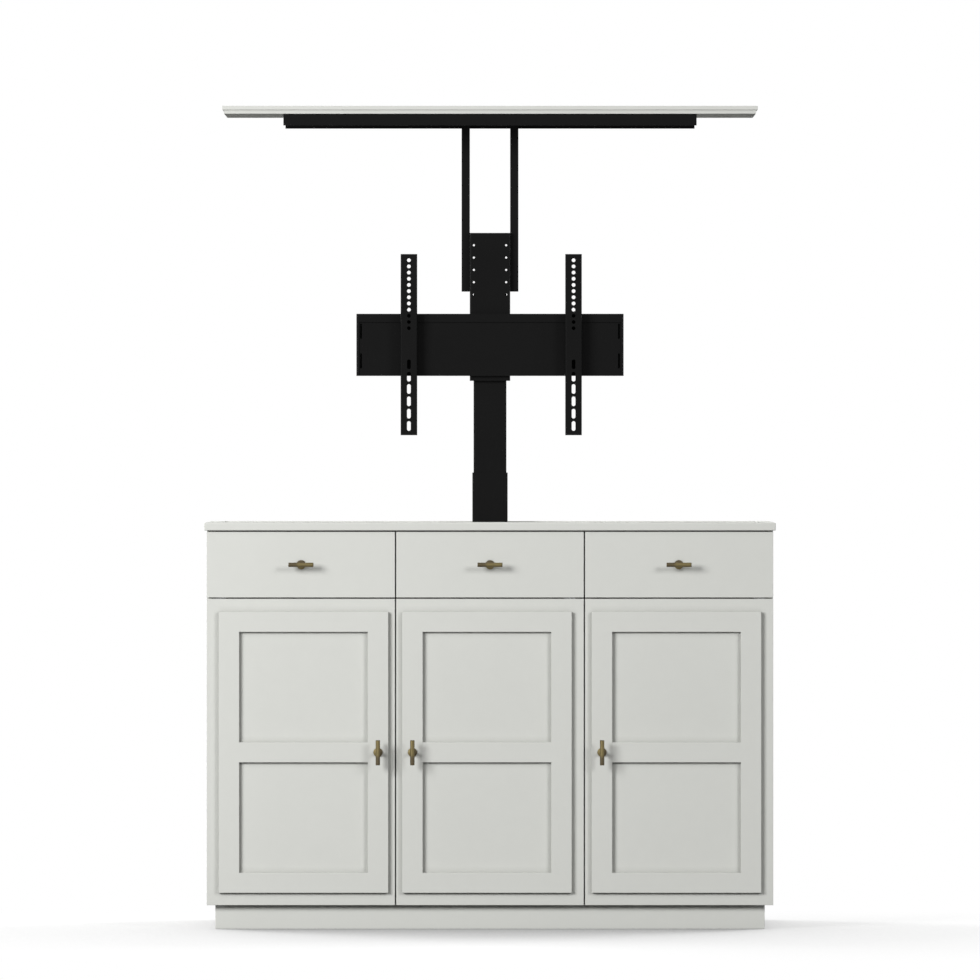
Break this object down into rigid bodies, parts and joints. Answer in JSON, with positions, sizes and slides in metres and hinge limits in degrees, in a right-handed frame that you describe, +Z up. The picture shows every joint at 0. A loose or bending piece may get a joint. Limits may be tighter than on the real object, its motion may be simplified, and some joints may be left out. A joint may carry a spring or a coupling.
{
  "type": "tv lift cabinet",
  "caption": "Low cabinet with drawers over panelled doors and a motorised column that raises television arms and the lid out of a rear well.",
  "frame": {"origin": "floor level, centre of the overall box seen from above, with the lift raised", "axes": "+X to the right as seen from the front, +Y from front to back, +Z up"},
  "size_m": [1.37, 0.5382, 1.98],
  "materials": {
    "painted_front": "pale grey-white satin paint on board",
    "painted_inside": "matt off-white paint on board",
    "drawer_birch": "clear-lacquered birch plywood",
    "aged_brass": "dark aged brass, lightly rubbed",
    "black_steel": "fine black powder coat",
    "zinc_steel": "bright zinc plate",
    "grey_nylon": "natural grey nylon",
    "black_plastic": "fine-grained black moulding",
    "motor_grey": "dark grey enamel"
  },
  "bodies": {
    "cabinet": {"top_panel": "painted_front", "left_side_panel": "painted_front", "right_side_panel": "painted_front", "bottom_panel": "painted_inside", "back_panel": "painted_inside", "left_divider": "painted_inside", "right_divider": "painted_inside", "bay_partition": "painted_inside", "carcass_rails": "painted_inside", "plinth_front": "painted_front", "plinth_rails": "painted_inside", "shelves": "painted_inside", "shelf_pins": "zinc_steel", "pivot_brackets": "zinc_steel", "drawer_outer_runners": "zinc_steel", "column_base_plate": "black_steel", "column_outer_tube": "black_steel", "column_wall_bracket": "black_steel", "lift_motor": "motor_grey", "control_box": "black_plastic", "power_inlet": "black_plastic"},
    "left_drawer": {"left_drawer_front": "painted_front", "left_drawer_box": "drawer_birch", "left_drawer_runners": "zinc_steel", "left_drawer_handle": "aged_brass"},
    "middle_drawer": {"middle_drawer_front": "painted_front", "middle_drawer_box": "drawer_birch", "middle_drawer_runners": "zinc_steel", "middle_drawer_handle": "aged_brass"},
    "right_drawer": {"right_drawer_front": "painted_front", "right_drawer_box": "drawer_birch", "right_drawer_runners": "zinc_steel", "right_drawer_handle": "aged_brass"},
    "left_door": {"left_door_leaf": "painted_front", "left_door_frame": "painted_front", "left_door_bushes": "grey_nylon", "left_door_handle": "aged_brass"},
    "middle_door": {"middle_door_leaf": "painted_front", "middle_door_frame": "painted_front", "middle_door_bushes": "grey_nylon", "middle_door_handle": "aged_brass"},
    "right_door": {"right_door_leaf": "painted_front", "right_door_frame": "painted_front", "right_door_bushes": "grey_nylon", "right_door_handle": "aged_brass"},
    "lift_stage_2": {"second_tube": "black_steel", "second_tube_glides": "grey_nylon"},
    "lift_stage_3": {"third_tube": "black_steel", "third_tube_glides": "grey_nylon"},
    "lift_head": {"inner_tube": "black_steel", "inner_tube_glides": "grey_nylon", "head_bracket": "black_steel", "bracket_spacer": "black_steel", "crossplate": "black_steel", "left_tv_arm": "black_steel", "right_tv_arm": "black_steel", "lid_uprights": "black_steel", "lid_channel": "black_steel", "lid_panel": "painted_front", "lid_screws": "zinc_steel"}
  },
  "joints": [
    {"name": "left_drawer_slide", "type": "slide", "parent": "cabinet", "child": "left_drawer", "axis": [0, -1, 0], "range_m": [0, 0.1]},
    {"name": "middle_drawer_slide", "type": "slide", "parent": "cabinet", "child": "middle_drawer", "axis": [0, -1, 0], "range_m": [0, 0.1]},
    {"name": "right_drawer_slide", "type": "slide", "parent": "cabinet", "child": "right_drawer", "axis": [0, -1, 0], "range_m": [0, 0.1]},
    {"name": "left_door_hinge", "type": "hinge", "parent": "cabinet", "child": "left_door", "pos_m": [-0.665, -0.21887, 0.425], "axis": [0, 0, -1], "range_deg": [0, 90]},
    {"name": "middle_door_hinge", "type": "hinge", "parent": "cabinet", "child": "middle_door", "pos_m": [0.21083, -0.21887, 0.425], "axis": [0, 0, 1], "range_deg": [0, 90]},
    {"name": "right_door_hinge", "type": "hinge", "parent": "cabinet", "child": "right_door", "pos_m": [0.665, -0.21887, 0.425], "axis": [0, 0, 1], "range_deg": [0, 90]},
    {"name": "lift_slide", "type": "slide", "parent": "cabinet", "child": "lift_stage_2", "axis": [0, 0, 1], "range_m": [-0.335, 0]},
    {"name": "third_tube_slide", "type": "slide", "parent": "lift_stage_2", "child": "lift_stage_3", "axis": [0, 0, 1], "range_m": [-0.335, 0]},
    {"name": "inner_tube_slide", "type": "slide", "parent": "lift_stage_3", "child": "lift_head", "axis": [0, 0, 1], "range_m": [-0.335, 0]}
  ],
  "couplings": [
    {"joint": "third_tube_slide", "follows": "lift_slide", "ratio": 1},
    {"joint": "inner_tube_slide", "follows": "lift_slide", "ratio": 1}
  ]
}
